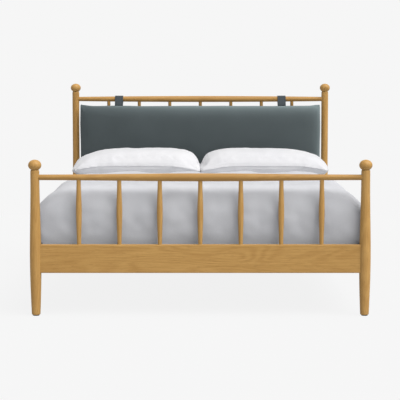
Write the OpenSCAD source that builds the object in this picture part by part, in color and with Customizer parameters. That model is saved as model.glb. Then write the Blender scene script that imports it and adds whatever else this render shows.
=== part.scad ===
// Spindle bed in oak: four turned posts, turned top rails and spindles at both ends,
// a slatted base, a mattress, a folded-down duvet, two pillows, and a padded cushion
// that hangs from the head rail by two straps.
// Millimetres. Z is up, X runs across the bed, +Y points to the head end.
// The origin is on the floor, at the middle of the four posts.
// Left and right are as seen from the foot of the bed.

/* [Mattress] */
// Width of the mattress
mattress_w = 1500; // [1440:5:1530]
// Length of the mattress
mattress_l = 1998; // [1880:2:2040]
// Height of the mattress
mattress_h = 250; // [200:2:290]
// Corner radius of the mattress, seen from above
mattress_corner_r = 60; // [40:5:90]
// Rounding of the top and bottom edges of the mattress
mattress_edge_r = 36; // [16:1:44]
// Room between the mattress and each side rail
side_room = 11; // [9:1:20]
// Room between the mattress and the foot rail, which takes the tucked duvet
foot_room = 32; // [26:1:45]
// Room between the mattress and the head rail
head_room = 2; // [1:1:10]

/* [Posts and finials] */
// Height of a foot post, with its ball
foot_post_h = 736; // [720:2:800]
// Height of a head post, with its ball
head_post_h = 1108; // [1090:2:1200]
// Diameter of a post along its upper part
post_d = 42; // [40:1:46]
// Diameter of a post at its thickest, level with the side rails
post_belly_d = 54; // [52:1:60]
// Diameter of a post just above the floor
post_toe_d = 40.5; // [38:0.5:46]
// Height at which a post is thickest
post_belly_z = 270; // [220:5:300]
// Height above which a post keeps its upper diameter
post_slim_z = 640; // [560:5:645]
// Diameter of the ball finial
ball_d = 62; // [56:1:66]
// Height of the ball finial, which is flattened
ball_h = 52; // [46:1:56]
// Diameter of the neck between a post and its ball
neck_d = 34; // [30:1:38]
// Height of the rounded shoulder below the neck
shoulder_h = 9; // [6:1:12]
// Diameter of the dowel that holds a finial
dowel_d = 14; // [10:1:16]
// Length of the dowel below the neck
dowel_l = 18; // [12:1:19]
// Diameter of a floor glide
glide_d = 30; // [24:1:34]
// Thickness of a floor glide
glide_t = 4; // [3:0.5:6]

/* [Top rails] */
// Distance from the top of a foot post down to the foot top rail's axis
foot_rail_drop = 83; // [78:1:90]
// Distance from the top of a head post down to the head top rail's axis
head_rail_drop = 95; // [85:1:118]
// Diameter of a top rail at its middle
top_rail_mid_d = 37.4; // [34:0.2:42]
// Diameter of a top rail where it enters a post
top_rail_end_d = 26.5; // [25:0.5:30]
// Depth to which a top rail enters a post
top_rail_socket = 14; // [10:1:15]
// How quickly the foot top rail slims towards its ends
foot_rail_taper = 2; // [0.8:0.1:2.4]
// How quickly the head top rail slims towards its ends
head_rail_taper = 0.8; // [0.8:0.1:2.4]

/* [Spindles] */
// Distance from a post's axis to the nearest spindle's axis
spindle_end_room = 205; // [175:1:265]
// Diameter of a spindle at its ends
spindle_end_d = 20; // [19:0.5:22]
// Diameter of a spindle at its middle
spindle_mid_d = 27.4; // [24:0.2:30]
// Diameter of a spindle's tenon
tenon_d = 15; // [12:0.5:16]
// Length of a spindle's tenon in the lower rail
tenon_l = 20; // [12:1:30]
// How far a spindle's tenon passes the axis of its top rail
tenon_past_axis = 4; // [1:0.5:7]

/* [Lower rails and side rails] */
// Height of the underside of all four rails
low_rail_z = 203; // [180:1:215]
// Height of each rail's board
rail_h = 134; // [120:1:150]
// Thickness of each rail's board
rail_t = 28; // [26:0.5:30]
// Rounding of the boards' long edges
rail_edge_r = 4; // [2:0.5:6]
// Distance from a post's axis to the floor of its mortises
mortise_floor = 17; // [15:0.5:19]

/* [Side rail fittings] */
// Diameter of the studs that hold the side rails
stud_d = 8; // [6:1:10]
// Depth of a stud in its post
stud_in_post = 25; // [20:1:28]
// Distance from the end of a side rail to the centre of a nut pocket
pocket_in = 60; // [50:1:80]
// Diameter of a nut pocket
pocket_d = 32; // [30:1:36]
// Depth of a nut pocket from the rail's inner face
pocket_depth = 22; // [21.5:0.5:23]
// Height of the two studs above and below the middle of the rail
stud_rise = 30; // [25:1:38]
// Thickness of the half-moon washer under each nut
washer_t = 6; // [4:0.5:8]
// Width of a nut across its flats
nut_af = 13; // [12:0.5:13.5]
// Thickness of a nut
nut_t = 6.5; // [5:0.5:8]

/* [Slatted base] */
// Distance from the top of the side rails down to the top of the slats
slat_drop = 37; // [25:1:45]
// Width of a slat
slat_w = 90; // [70:2:110]
// Thickness of a slat
slat_t = 18; // [14:0.5:22]
// Distance from the end of the ledgers to the nearest slat
slat_end_in = 5; // [0:1:30]
// Clearance at each end of a slat
slat_side_room = 3; // [1:0.5:5]
// Width of the ledgers that carry the slats
ledger_w = 24; // [20:1:30]
// Height of the ledgers
ledger_h = 34; // [28:1:38]
// Clearance between a ledger's end and the nearest nut pocket
ledger_end_room = 1; // [0.5:0.5:20]
// Width of the centre beam
beam_w = 45; // [38:1:60]
// Height of the centre beam
beam_h = 75; // [65:1:76]
// Thickness of the beam brackets' steel
bracket_t = 3; // [2:0.5:3.5]
// Length of the beam that a bracket carries
bracket_l = 60; // [40:2:80]
// Height of a bracket's cheeks
bracket_h = 60; // [45:1:62]
// Width of each screw flange of a bracket
flange_w = 26; // [20:1:32]
// Shank diameter of the wood screws
screw_d = 4; // [3.5:0.5:4.5]
// Length of the screws through slats and ledgers
screw_l = 38; // [34:1:39]
// Length of the screws that hold the brackets
bracket_screw_l = 18; // [14:1:22]

/* [Duvet] */
// Thickness of the duvet on top of the mattress
duvet_t = 62; // [52:1:76]
// Extra height of the duvet along its middle
duvet_crown = 7; // [3:1:14]
// Length of the duvet from its foot face to its hem
duvet_l = 1064; // [900:2:1150]
// Thickness of the duvet down the foot end of the mattress
duvet_front_t = 19; // [14:1:20]
// How far the duvet swells past the side of the mattress
duvet_side_t = 40; // [30:1:45]
// Height of that swelling above the top of the side rails
duvet_swell_rise = 148; // [130:2:160]
// Depth to which the duvet is tucked below the top of the rails
tuck_depth = 16; // [8:1:22]
// Thickness of the duvet where it is tucked in
tuck_t = 6; // [4:0.5:8]

/* [Pillows] */
// Length of a pillow, across the bed
pillow_l = 752; // [660:1:760]
// Width of a pillow, along the bed
pillow_w = 500; // [420:2:540]
// Height of a pillow at its crown
pillow_h = 175; // [140:1:190]
// Height of a pillow's seam above the mattress
pillow_seam_h = 80; // [50:1:90]
// Gap between the two pillows at their nearest
pillow_gap = 6; // [2:1:20]
// Gap between the pillows and the hanging cushion
pillow_back_room = 66; // [62:1:110]

/* [Hanging cushion] */
// Thickness of the cushion at its middle
cushion_t = 60; // [45:1:70]
// Gap between the cushion and each head post
cushion_side_room = 14; // [8:1:40]
// Distance from the head top rail's axis down to the top of the cushion
cushion_drop = 43; // [38:1:60]
// Clearance between the cushion and the top of the mattress
cushion_clear = 40; // [8:1:60]
// Height by which the cushion's corners stand above its long edges
cushion_ear = 12; // [6:1:16]
// Distance of each strap's middle from the nearest end of the cushion
strap_inset = 235; // [200:5:290]
// Width of a strap
strap_w = 50; // [35:1:60]
// Thickness of a strap
strap_t = 4; // [2.5:0.5:5]

/* [Hidden] */

oak = "#c49a60";
pine = "#d9b888";
steel = "#9aa0a5";
zinc = "#b9bcc0";
glide_grey = "#55524e";
white_cotton = "#eceae6";
sheet_cotton = "#dcdcdd";
slate = "#4c5859";
strap_slate = "#535b62";

// Clearances between made pieces, and between soft pieces and what they lie on
fit = 0.1;
soft_gap = 0.3;
round_faces = 96;
spindle_count = 7;
slat_count = 12;

// Places of the posts and rails
post_x = mattress_w / 2 + side_room + rail_t / 2;
inner_l = mattress_l + foot_room + head_room;
post_y = (inner_l + rail_t) / 2;
inner_y = inner_l / 2;
inner_x = post_x - rail_t / 2;
rail_top_z = low_rail_z + rail_h;
rail_mid_z = low_rail_z + rail_h / 2;
slat_top_z = rail_top_z - slat_drop;
ledger_top_z = slat_top_z - slat_t;
beam_z = ledger_top_z - beam_h;
stud_zs = [rail_mid_z - stud_rise, rail_mid_z + stud_rise];
foot_rail_z = foot_post_h - foot_rail_drop;
head_rail_z = head_post_h - head_rail_drop;
spindle_pitch = (post_x - spindle_end_room) / ((spindle_count - 1) / 2);
ledger_half = post_y - mortise_floor - pocket_in - pocket_d / 2 - ledger_end_room;
first_slat_y = ledger_half - slat_end_in - slat_w / 2;

// Places of the mattress and what lies on it
mattress_foot_y = -inner_y + foot_room;
mattress_head_y = inner_y - head_room;
mattress_mid_y = (mattress_foot_y + mattress_head_y) / 2;
mattress_top_z = slat_top_z + mattress_h;
duvet_front_y = mattress_foot_y - duvet_front_t;
duvet_hem_y = duvet_front_y + duvet_l;

// Places of the hanging cushion, measured at the head top rail
cushion_top_z = head_rail_z - cushion_drop;
cushion_bottom_z = mattress_top_z + cushion_clear;
cushion_back_y = post_y - spindle_mid_d / 2 - soft_gap;
cushion_mid_y = cushion_back_y - cushion_t / 2;
cushion_half_w = post_x - post_d / 2 - cushion_side_room;
strap_x = cushion_half_w - strap_inset;
pillow_y = cushion_back_y - cushion_t - pillow_back_room - pillow_w / 2;

function smooth_step(t) = t * t * (3 - 2 * t);

function clamp01(t) = min(1, max(0, t));

// Radius of a post at a height: a swelling at the side rails, slim above it
function post_r(z) =
  z < post_belly_z
    ? post_toe_d / 2 + (post_belly_d - post_toe_d) / 2 * sin(90 * clamp01(z / post_belly_z))
    : post_belly_d / 2 - (post_belly_d - post_d) / 2
      * smooth_step(clamp01((z - post_belly_z) / (post_slim_z - post_belly_z)));

// Angle on the ball at which its side meets the neck, and the neck's height
function neck_angle() = -acos(neck_d / ball_d);
function neck_z(post_h) = post_h - ball_h / 2 + ball_h / 2 * sin(neck_angle());

// Radius of a top rail at a distance from its middle
function top_rail_half() = post_x - post_d / 2 + top_rail_socket;
function top_rail_r(x, taper) =
  top_rail_end_d / 2 + (top_rail_mid_d - top_rail_end_d) / 2
    * pow(cos(90 * clamp01(abs(x) / (post_x - post_d / 2))), taper);

function spindle_x(i) = (i - (spindle_count - 1) / 2) * spindle_pitch;

// Height of a spindle's shoulder, where its whole end has entered the top rail
function shoulder_z(x, rail_z, taper) =
  rail_z - sqrt(pow(top_rail_r(x, taper), 2) - pow(spindle_end_d / 2, 2));

function spindle_r(t) =
  spindle_end_d / 2 + (spindle_mid_d - spindle_end_d) / 2 * pow(sin(180 * t), 2);

function slat_y(i) = first_slat_y * (2 * i / (slat_count - 1) - 1);

// Posts, turned from one blank each

module mortise(across) {
  rotate([0, 0, across ? 0 : 90])
    translate([mortise_floor, 0, low_rail_z])
      rotate([90, 0, 90])
        linear_extrude(height = post_belly_d)
          translate([0, rail_h / 2])
            rounded_rect(rail_t + 2 * fit, rail_h + 2 * fit, rail_edge_r);
}

module rounded_rect(w, h, r) {
  square([w - 2 * r, h], center = true);
  square([w, h - 2 * r], center = true);
  for (x = [-1, 1], y = [-1, 1])
    translate([x * (w / 2 - r), y * (h / 2 - r)])
      circle(r = r, $fn = 32);
}

// A post at the origin: its end panel lies towards +X and its side rail towards +Y
module turned_post(post_h, rail_z) {
  top = neck_z(post_h);
  toe_round = 4;
  straight = top - shoulder_h;
  difference() {
    rotate_extrude($fn = round_faces)
      polygon(concat(
        [[0, glide_t], [post_toe_d / 2 - toe_round, glide_t]],
        [for (a = [30:30:90])
          [post_toe_d / 2 - toe_round * (1 - sin(a)), glide_t + toe_round * (1 - cos(a))]],
        [for (z = [30:30:post_slim_z]) [post_r(z), z]],
        [for (a = [0:22.5:90])
          [neck_d / 2 + (post_d - neck_d) / 2 * cos(a), straight + shoulder_h * sin(a)]],
        [[0, top]]
      ));
    mortise(true);
    mortise(false);
    translate([post_d / 2 - top_rail_socket, 0, rail_z])
      rotate([0, 90, 0])
        cylinder(d = top_rail_end_d + 2 * fit, h = post_d, $fn = round_faces);
    translate([0, 0, top - dowel_l - 1])
      cylinder(d = dowel_d + 2 * fit, h = dowel_l + 2, $fn = round_faces);
    for (z = stud_zs)
      translate([0, mortise_floor - stud_in_post, z])
        rotate([-90, 0, 0])
          cylinder(d = stud_d + 2 * fit, h = post_belly_d, $fn = 48);
  }
}

// Puts a left foot piece at its corner: side is -1 at the left, end is -1 at the foot
module at_corner(side, end) {
  mirror([side > 0 ? 1 : 0, 0, 0])
    mirror([0, end > 0 ? 1 : 0, 0])
      translate([-post_x, -post_y, 0])
        children();
}

module post(side, end) {
  color(oak)
    at_corner(side, end)
      turned_post(end > 0 ? head_post_h : foot_post_h, end > 0 ? head_rail_z : foot_rail_z);
}

// Flattened ball on a dowel that is glued into the top of its post
module finial(side, end) {
  post_h = end > 0 ? head_post_h : foot_post_h;
  mid_z = post_h - ball_h / 2;
  color(oak)
    at_corner(side, end)
      rotate_extrude($fn = round_faces)
        polygon(concat(
          [[0, neck_z(post_h) - dowel_l], [dowel_d / 2, neck_z(post_h) - dowel_l]],
          [[dowel_d / 2, neck_z(post_h)]],
          [for (i = [0:14])
            let (a = neck_angle() + (90 - neck_angle()) * i / 14)
              [max(0, ball_d / 2 * cos(a)), mid_z + ball_h / 2 * sin(a)]]
        ));
}

// Rails

module top_rail(end) {
  rail_z = end > 0 ? head_rail_z : foot_rail_z;
  taper = end > 0 ? head_rail_taper : foot_rail_taper;
  half = top_rail_half();
  steps = 24;
  color(oak)
    difference() {
      translate([0, end * post_y, rail_z])
        rotate([0, 90, 0])
          rotate_extrude($fn = round_faces)
            polygon(concat(
              [[0, -half], [top_rail_end_d / 2, -half]],
              [for (i = [0:steps])
                let (x = (post_x - post_d / 2) * (2 * i / steps - 1))
                  [top_rail_r(x, taper), x]],
              [[top_rail_end_d / 2, half], [0, half]]
            ));
      for (i = [0:spindle_count - 1])
        translate([spindle_x(i), end * post_y, 0]) {
          translate([0, 0, rail_z - top_rail_mid_d])
            cylinder(
              d = spindle_end_d + 2 * fit,
              h = shoulder_z(spindle_x(i), rail_z, taper) - rail_z + top_rail_mid_d,
              $fn = 48
            );
          translate([0, 0, rail_z - top_rail_mid_d])
            cylinder(d = tenon_d + 2 * fit, h = top_rail_mid_d + tenon_past_axis, $fn = 48);
        }
    }
}

// A board along X with rounded long edges, centred on its own length
module rail_board(l) {
  rotate([90, 0, 90])
    linear_extrude(height = l, center = true)
      rounded_rect(rail_t, rail_h, rail_edge_r);
}

module lower_rail(end) {
  color(oak)
    difference() {
      translate([0, end * post_y, rail_mid_z])
        rail_board(2 * (post_x - mortise_floor));
      for (i = [0:spindle_count - 1])
        translate([spindle_x(i), end * post_y, rail_top_z - tenon_l])
          cylinder(d = tenon_d + 2 * fit, h = tenon_l + 1, $fn = 48);
      bracket_screw_holes(end);
    }
}

module spindle(end, i) {
  rail_z = end > 0 ? head_rail_z : foot_rail_z;
  taper = end > 0 ? head_rail_taper : foot_rail_taper;
  top = shoulder_z(spindle_x(i), rail_z, taper);
  steps = 20;
  color(oak)
    translate([spindle_x(i), end * post_y, 0])
      rotate_extrude($fn = round_faces)
        polygon(concat(
          [[0, rail_top_z - tenon_l], [tenon_d / 2, rail_top_z - tenon_l]],
          [[tenon_d / 2, rail_top_z]],
          [for (k = [0:steps]) [spindle_r(k / steps), rail_top_z + (top - rail_top_z) * k / steps]],
          [[tenon_d / 2, top], [tenon_d / 2, rail_z + tenon_past_axis]],
          [[0, rail_z + tenon_past_axis]]
        ));
}

// Side rails, with a pocket for each nut in the inner face

module side_rail(side) {
  half = post_y - mortise_floor;
  color(oak)
    difference() {
      translate([side * post_x, 0, rail_mid_z])
        rotate([0, 0, 90])
          rail_board(2 * half);
      for (end = [-1, 1], z = stud_zs) {
        at_stud(side, end, z)
          cylinder(d = stud_d + 4 * fit, h = pocket_in + pocket_d / 4, $fn = 48);
        at_pocket(side, end, z)
          cylinder(d = pocket_d, h = pocket_depth + 1, $fn = 64);
      }
      ledger_screw_holes(side);
    }
}

// Z of the child runs along the stud, from the rail's end into the rail
module at_stud(side, end, z) {
  translate([side * post_x, end * (post_y - mortise_floor + 1), z])
    rotate([end * 90, 0, 0])
      children();
}

// Z of the child runs from inside the bed into the pocket, and starts 1 mm before the face
module at_pocket(side, end, z) {
  translate([side * (inner_x - 1), end * (post_y - mortise_floor - pocket_in), z])
    rotate([0, side * 90, 0])
      children();
}

module rail_studs() {
  washer_face = pocket_in - pocket_d / 2 + washer_t;
  stud_end = washer_face + nut_t + 3;
  color(zinc)
    for (side = [-1, 1], end = [-1, 1], z = stud_zs)
      translate([side * post_x, end * (post_y - mortise_floor + stud_in_post), z])
        rotate([end * 90, 0, 0])
          cylinder(d = stud_d, h = stud_in_post + stud_end, $fn = 48);
}

// Half-moon washer: round against the pocket's wall, flat under the nut
module stud_washers() {
  washer_w = pocket_depth - 4;
  color(zinc)
    for (side = [-1, 1], end = [-1, 1], z = stud_zs)
      difference() {
        translate([side * (inner_x + 2), end * (post_y - mortise_floor - pocket_in), z])
          rotate([0, side * 90, 0])
            intersection() {
              cylinder(d = pocket_d - 2 * fit, h = washer_w, $fn = 64);
              translate([-pocket_d / 2, end > 0 ? pocket_d / 2 - washer_t : -pocket_d / 2, 0])
                cube([pocket_d, washer_t, washer_w]);
            }
        at_stud(side, end, z)
          cylinder(d = stud_d + 4 * fit, h = pocket_in, $fn = 48);
      }
}

module stud_nuts() {
  washer_face = pocket_in - pocket_d / 2 + washer_t;
  color(zinc)
    for (side = [-1, 1], end = [-1, 1], z = stud_zs)
      translate([side * post_x, end * (post_y - mortise_floor - washer_face), z])
        rotate([end * 90, 0, 0])
          difference() {
            cylinder(d = nut_af / cos(30), h = nut_t, $fn = 6);
            translate([0, 0, -1])
              cylinder(d = stud_d + 2 * fit, h = nut_t + 2, $fn = 48);
          }
}

// Slatted base

// A countersunk wood screw that points down, with its head flush at z = 0
module wood_screw(l) {
  head_d = 2 * screw_d;
  rotate_extrude($fn = 48)
    polygon([
      [0, 0], [head_d / 2, 0], [screw_d / 2, -screw_d / 2], [screw_d / 2, -l + screw_d],
      [0, -l]
    ]);
}

module screw_hole(l) {
  head_d = 2 * screw_d;
  rotate_extrude($fn = 48)
    polygon([
      [0, 1], [head_d / 2 + fit, 1], [head_d / 2 + fit, 0], [screw_d / 2 + fit, -screw_d / 2],
      [screw_d / 2 + fit, -l - 1], [0, -l - 1]
    ]);
}

// One slat screw over each ledger, on the middle line of every slat
module at_slat_screws(side) {
  for (i = [0:slat_count - 1])
    translate([side * (inner_x - ledger_w / 2), slat_y(i), slat_top_z])
      children();
}

// Ledger screws go in between the slats, every second gap
module at_ledger_screws(side) {
  for (i = [0:2:slat_count - 2])
    translate([
      side * (inner_x - ledger_w), (slat_y(i) + slat_y(i + 1)) / 2, ledger_top_z - ledger_h / 2
    ])
      rotate([0, -side * 90, 0])
        children();
}

module ledger_screw_holes(side) {
  at_ledger_screws(side)
    screw_hole(screw_l);
}

module ledger(side) {
  color(pine)
    difference() {
      translate([side * (inner_x - ledger_w / 2), 0, ledger_top_z - ledger_h / 2])
        cube([ledger_w, 2 * ledger_half, ledger_h], center = true);
      at_slat_screws(side)
        screw_hole(screw_l);
      at_ledger_screws(side)
        screw_hole(screw_l);
    }
}

module slat(i) {
  half = inner_x - slat_side_room;
  color(pine)
    difference() {
      translate([-half, slat_y(i) - slat_w / 2, ledger_top_z])
        cube([2 * half, slat_w, slat_t]);
      at_slat_screws(-1)
        screw_hole(screw_l);
      at_slat_screws(1)
        screw_hole(screw_l);
    }
}

module slat_screws() {
  color(zinc)
    for (side = [-1, 1])
      at_slat_screws(side)
        wood_screw(screw_l);
}

module ledger_screws() {
  color(zinc)
    for (side = [-1, 1])
      at_ledger_screws(side)
        wood_screw(screw_l);
}

module centre_beam() {
  half = inner_y - bracket_t - 2 * fit;
  color(pine)
    translate([-beam_w / 2, -half, beam_z])
      cube([beam_w, 2 * half, beam_h]);
}

// Bracket at the foot end, in place: a back plate on the rail and a three-sided saddle
module foot_bracket() {
  in_w = beam_w + 4 * fit;
  cheek_z = beam_z - bracket_t;
  difference() {
    union() {
      translate([-in_w / 2 - bracket_t - flange_w, -inner_y, cheek_z])
        cube([in_w + 2 * (bracket_t + flange_w), bracket_t, bracket_h]);
      for (x = [-in_w / 2 - bracket_t, in_w / 2])
        translate([x, -inner_y, cheek_z])
          cube([bracket_t, bracket_l, bracket_h]);
      translate([-in_w / 2 - bracket_t, -inner_y, cheek_z])
        cube([in_w + 2 * bracket_t, bracket_l, bracket_t]);
    }
    at_bracket_screws()
      screw_hole(bracket_screw_l);
  }
}

module at_bracket_screws() {
  x = beam_w / 2 + bracket_t + flange_w / 2;
  for (side = [-1, 1], z = [beam_z + 0.2 * bracket_h, beam_z + 0.7 * bracket_h])
    translate([side * x, -inner_y + bracket_t, z])
      rotate([-90, 0, 0])
        children();
}

module at_end(end) {
  mirror([0, end > 0 ? 1 : 0, 0])
    children();
}

module bracket_screw_holes(end) {
  at_end(end)
    at_bracket_screws()
      screw_hole(bracket_screw_l);
}

module beam_bracket(end) {
  color(steel)
    at_end(end)
      foot_bracket();
}

module bracket_screws() {
  color(zinc)
    for (end = [-1, 1])
      at_end(end)
        at_bracket_screws()
          wood_screw(bracket_screw_l);
}

module floor_glides() {
  color(glide_grey)
    for (side = [-1, 1], end = [-1, 1])
      at_corner(side, end)
        cylinder(d = glide_d, h = glide_t, $fn = round_faces);
}

// Soft pieces, as closed solids of triangles

corner_steps = 5;
side_steps = 8;
front_steps = 4;

// Plan outline of the duvet, from its left hem round the foot end to its right hem
function quarter_outline(half_w, front_y, hem_y, r) = concat(
  [for (i = [0:side_steps - 1])
    [-half_w, hem_y + (front_y + r - hem_y) * i / side_steps]],
  [for (i = [0:corner_steps])
    let (a = 90 * i / corner_steps)
      [-half_w + r * (1 - cos(a)), front_y + r * (1 - sin(a))]],
  [for (i = [1:front_steps])
    [(-half_w + r) * (1 - i / front_steps), front_y]]
);

function mirrored_x(points) = [for (i = [len(points) - 1:-1:0]) [-points[i][0], points[i][1]]];

function u_outline(half_w, front_y, hem_y, r) =
  let (left = quarter_outline(half_w, front_y, hem_y, r))
    concat(left, [for (i = [1:len(left) - 1]) mirrored_x(left)[i]]);

function lift_to(outline, z) = [for (p = outline) [p[0], p[1], z]];

// Two triangles for each four-sided face of a grid of rows, seen from outside
function grid_faces(rows, cols, first, flip) = [
  for (r = [0:rows - 2], c = [0:cols - 2])
    let (
      a = first + r * cols + c,
      b = a + 1,
      d = a + cols,
      e = d + 1
    )
      each flip ? [[a, d, b], [b, d, e]] : [[a, b, d], [b, e, d]]
];

// Rings of the duvet's outside, from the tuck up the sides and in over the top.
// Each ring is [half width, foot face, corner radius, height].
duvet_swell_z = rail_top_z + duvet_swell_rise;
duvet_shoulder_z = mattress_top_z + duvet_t;
duvet_side_round = 160;
duvet_front_round = 150;
duvet_side_power = 1.7;
duvet_front_power = 0.45;
duvet_rise_power = 1.3;
duvet_corner_r = 45;
duvet_half_w = mattress_w / 2 + duvet_side_t;
tuck_z = rail_top_z - tuck_depth;
duvet_free_z = rail_top_z + 2;
duvet_rings = concat(
  [[duvet_half_w - duvet_side_t + tuck_t, duvet_front_y + 2, duvet_corner_r, tuck_z]],
  [for (t = [0:0.25:0.75])
    [
      duvet_half_w - (duvet_side_t - tuck_t) * pow(1 - t, 3),
      duvet_front_y + 2 * (1 - t),
      duvet_corner_r,
      duvet_free_z + (duvet_swell_z - duvet_free_z) * t
    ]],
  [for (a = [0:15:90])
    let (
      side_in = 1 - pow(cos(a), duvet_side_power),
      front_in = 1 - pow(cos(a), duvet_front_power)
    )
      [
        duvet_half_w - duvet_side_round * side_in,
        duvet_front_y + duvet_front_round * front_in,
        duvet_corner_r + duvet_side_round * side_in / 2,
        duvet_swell_z + (duvet_shoulder_z - duvet_swell_z) * pow(sin(a), duvet_rise_power)
      ]]
);

// Rings of the duvet's inside, which follow the mattress at a small gap
duvet_lining = concat(
  [for (t = [0, 0.5])
    [
      mattress_w / 2 + soft_gap,
      mattress_foot_y - soft_gap,
      mattress_corner_r + soft_gap,
      tuck_z + (mattress_top_z - mattress_edge_r - tuck_z) * t
    ]],
  [for (a = [0:30:90])
    let (inward = mattress_edge_r * (1 - cos(a)))
      [
        mattress_w / 2 + soft_gap - inward,
        mattress_foot_y - soft_gap + inward,
        mattress_corner_r + soft_gap - inward,
        mattress_top_z + soft_gap - mattress_edge_r * (1 - sin(a))
      ]]
);

function ring_points(ring, hem_y) = lift_to(u_outline(ring[0], ring[1], hem_y, ring[2]), ring[3]);

// The top is filled by rungs, from each point of the last ring's sides and corners to its
// mirror image, and the last ring's straight front is the last rung
top_cols = 2 * front_steps;
top_rows = side_steps + corner_steps;
function rung_points(ring, hem_y, crown) =
  let (
    left = quarter_outline(ring[0], ring[1], hem_y, ring[2]),
    reach = hem_y - ring[1]
  )
    [for (i = [0:top_rows - 1], c = [1:top_cols - 1])
      let (
        s = 1 - 2 * c / top_cols,
        along = clamp01((left[i][1] - ring[1]) / (0.4 * reach))
      )
        [left[i][0] * s, left[i][1], ring[3] + crown * (1 - s * s) * smooth_step(along)]];

function top_faces(ring_n, ring_at, rung_at, flip) =
  let (
    index = function (i, c)
      c == 0 ? ring_at + i
      : c == top_cols ? ring_at + ring_n - 1 - i
      : i == top_rows ? ring_at + top_rows + c
      : rung_at + i * (top_cols - 1) + c - 1
  )
    [for (i = [0:top_rows - 1], c = [0:top_cols - 1])
      let (
        a = index(i, c),
        b = index(i, c + 1),
        d = index(i + 1, c),
        e = index(i + 1, c + 1)
      )
        each flip ? [[a, d, b], [b, d, e]] : [[a, b, d], [b, e, d]]];

module duvet() {
  ring_n = len(u_outline(1000, -1000, 0, 10));
  rows_out = len(duvet_rings);
  rows_in = len(duvet_lining);
  outer = [for (r = duvet_rings) each ring_points(r, duvet_hem_y)];
  inner = [for (r = duvet_lining) each ring_points(r, duvet_hem_y)];
  outer_rungs = rung_points(duvet_rings[rows_out - 1], duvet_hem_y, duvet_crown);
  inner_rungs = rung_points(duvet_lining[rows_in - 1], duvet_hem_y, 0);
  in_at = len(outer);
  out_rung_at = in_at + len(inner);
  in_rung_at = out_rung_at + len(outer_rungs);
  last_out = (rows_out - 1) * ring_n;
  last_in = in_at + (rows_in - 1) * ring_n;
  hem_out = concat(
    [for (r = [0:rows_out - 1]) r * ring_n],
    [for (c = [0:top_cols - 2]) out_rung_at + c],
    [for (r = [rows_out - 1:-1:0]) r * ring_n + ring_n - 1]
  );
  hem_in = concat(
    [for (r = [0:rows_in - 1]) in_at + r * ring_n],
    [for (c = [0:top_cols - 2]) in_rung_at + c],
    [for (r = [rows_in - 1:-1:0]) in_at + r * ring_n + ring_n - 1]
  );
  color(white_cotton)
    polyhedron(
      points = concat(outer, inner, outer_rungs, inner_rungs),
      faces = concat(
        grid_faces(rows_out, ring_n, 0, true),
        grid_faces(rows_in, ring_n, in_at, false),
        top_faces(ring_n, last_out, out_rung_at, false),
        top_faces(ring_n, last_in, in_rung_at, true),
        [for (c = [0:ring_n - 2]) each [[c, c + 1, in_at + c], [c + 1, in_at + c + 1, in_at + c]]],
        hem_strip(hem_out, hem_in)
      ),
      convexity = 6
    );
}

// Joins two unlike rows of points by always taking the step that lags behind
function hem_strip(a, b, i = 0, j = 0) =
  i == len(a) - 1 && j == len(b) - 1 ? [] :
  let (step_a = j == len(b) - 1 || (i < len(a) - 1 && i / (len(a) - 1) <= j / (len(b) - 1)))
    concat(
      [step_a ? [a[i], b[j], a[i + 1]] : [a[i], b[j], b[j + 1]]],
      hem_strip(a, b, step_a ? i + 1 : i, step_a ? j : j + 1)
    );

// Closed plan outline of the mattress
function mattress_outline(inward) =
  let (
    half_w = mattress_w / 2 - inward,
    half_l = mattress_l / 2 - inward,
    r = mattress_corner_r - inward
  )
    [for (q = [0:3], i = [0:corner_steps])
      let (
        a = 90 * q + 90 * i / corner_steps,
        sx = q == 0 || q == 3 ? 1 : -1,
        sy = q < 2 ? 1 : -1
      )
        [sx * (half_w - r) + r * cos(a), mattress_mid_y + sy * (half_l - r) + r * sin(a)]];

mattress_rings = concat(
  [for (a = [0:30:90])
    [mattress_edge_r * (1 - sin(a)), slat_top_z + mattress_edge_r * (1 - cos(a))]],
  [[0, (slat_top_z + mattress_top_z) / 2]],
  [for (a = [0:30:90])
    [mattress_edge_r * (1 - cos(a)), mattress_top_z - mattress_edge_r * (1 - sin(a))]]
);

module mattress() {
  n = len(mattress_outline(0));
  rows = len(mattress_rings);
  body = [for (r = mattress_rings) each lift_to(mattress_outline(r[0]), r[1])];
  middle = concat(body, [[0, mattress_mid_y, slat_top_z], [0, mattress_mid_y, mattress_top_z]]);
  color(sheet_cotton)
    polyhedron(
      points = middle,
      faces = concat(
        [for (r = [0:rows - 2], c = [0:n - 1])
          let (
            a = r * n + c,
            b = r * n + (c + 1) % n
          )
            each [[a, a + n, b], [b, a + n, b + n]]],
        [for (c = [0:n - 1]) [c, (c + 1) % n, rows * n]],
        [for (c = [0:n - 1]) [(rows - 1) * n + (c + 1) % n, (rows - 1) * n + c, rows * n + 1]]
      ),
      convexity = 4
    );
}

// A padded form of two crowned faces that meet in a seam.
// `shape` is a function of two values from -1 to 1 that gives [x, y, front, back]:
// the place on the seam's plane and the height of each face there.
pad_u = 24;
pad_v = 14;

function pad_step(i, n) = sin(90 * (2 * i / n - 1));

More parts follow.
